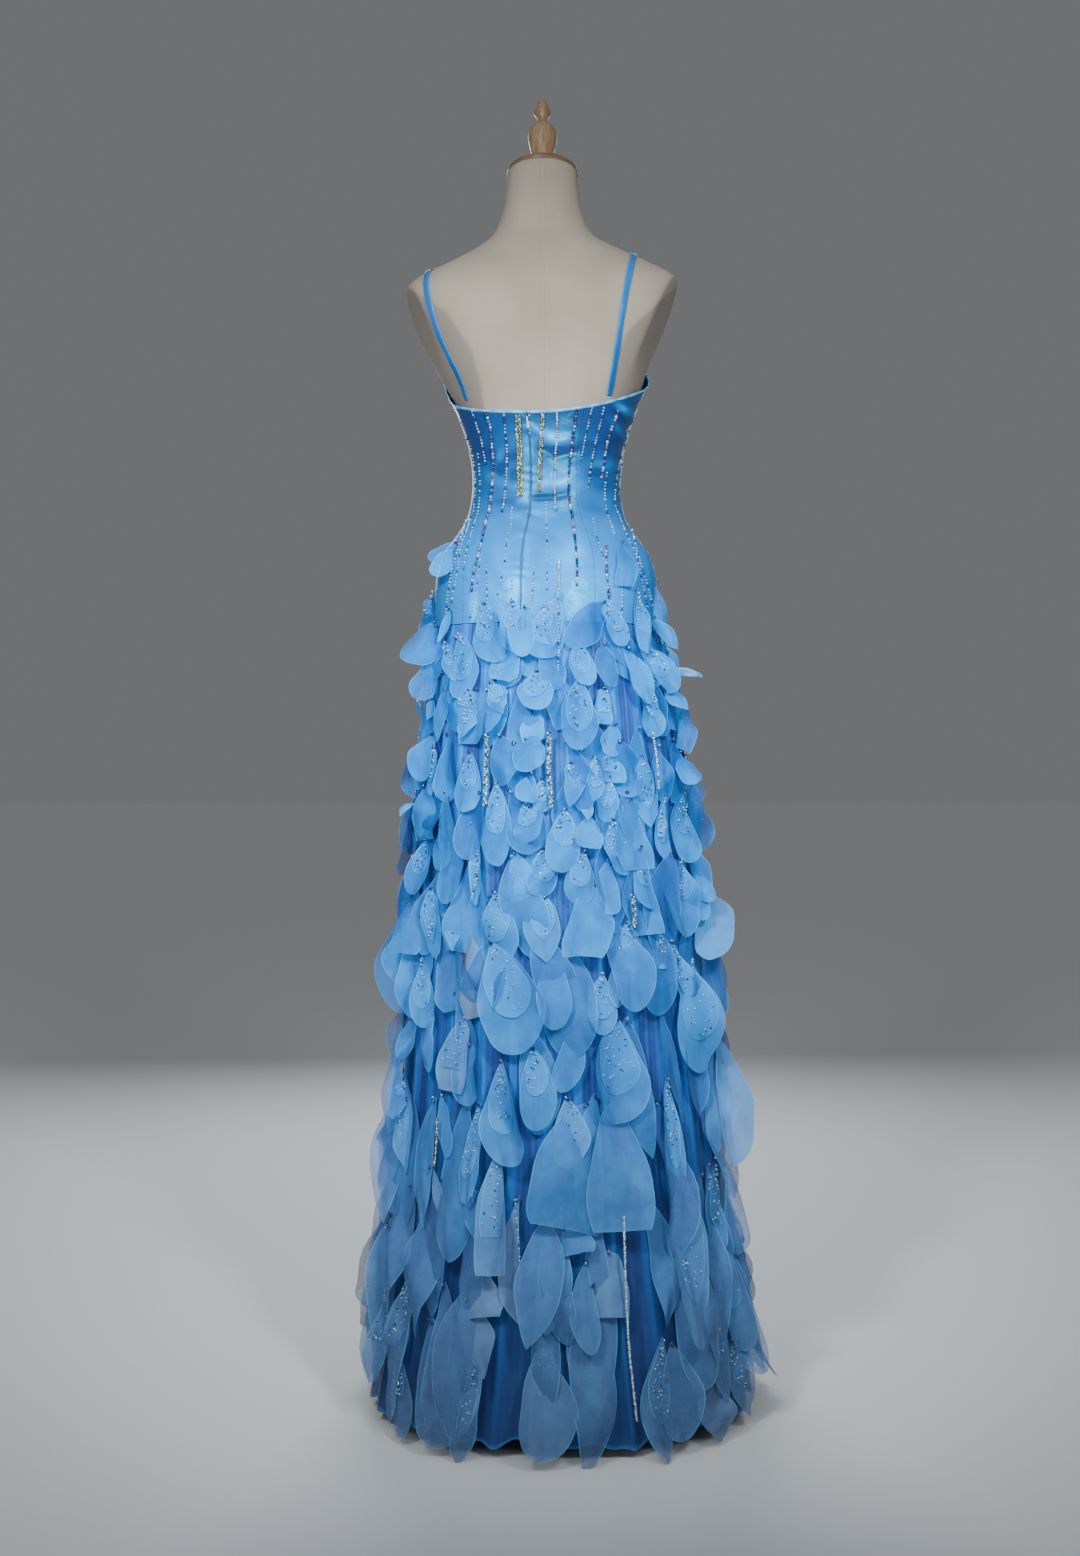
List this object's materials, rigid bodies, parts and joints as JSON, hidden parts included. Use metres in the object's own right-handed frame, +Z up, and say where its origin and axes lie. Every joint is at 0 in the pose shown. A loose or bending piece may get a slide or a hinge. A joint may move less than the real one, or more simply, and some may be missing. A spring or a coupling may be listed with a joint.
{
  "type": "prom dress on dress form",
  "caption": "Floor-length strapped prom dress with a fitted satin bodice and a skirt covered in organza petals, resting on a limbless dress form on a round stand.",
  "frame": {"origin": "centre of the stand's underside, on the floor", "axes": "+Z up, the front of the dress faces -Y, the wearer's left is +X"},
  "size_m": [0.5858, 0.6035, 1.7996],
  "materials": {
    "satin": "sky blue polyester satin with a soft sheen",
    "organza": "sheer blue organza over satin",
    "petal_organza": "sheer pale blue organza with small beads",
    "form_jersey": "off-white linen jersey over a hard shell",
    "turned_wood": "pale turned wood, satin lacquer",
    "stand_metal": "black powder coat",
    "zip": "woven zip tape with a nylon coil"
  },
  "bodies": {
    "root": {"bodice_back_left": "satin", "bodice_back_right": "satin", "bodice_side_back_left": "satin", "bodice_side_back_right": "satin", "bodice_side_front_left": "satin", "bodice_side_front_right": "satin", "bodice_front": "satin", "neckline_binding": "satin", "strap_left": "satin", "strap_right": "satin", "underskirt_back": "satin", "underskirt_front": "satin", "zip_tape": "zip", "overskirt_back": "organza", "overskirt_front": "organza", "petal_row_01": "petal_organza", "petal_row_02": "petal_organza", "petal_row_03": "petal_organza", "petal_row_04": "petal_organza", "petal_row_05": "petal_organza", "petal_row_06": "petal_organza", "petal_row_07": "petal_organza", "petal_row_08": "petal_organza", "petal_row_09": "petal_organza", "petal_row_10": "petal_organza", "petal_row_11": "petal_organza", "form_torso": "form_jersey", "form_neck_cap": "turned_wood", "form_finial": "turned_wood", "form_pole": "stand_metal", "form_base": "stand_metal"}
  },
  "joints": []
}
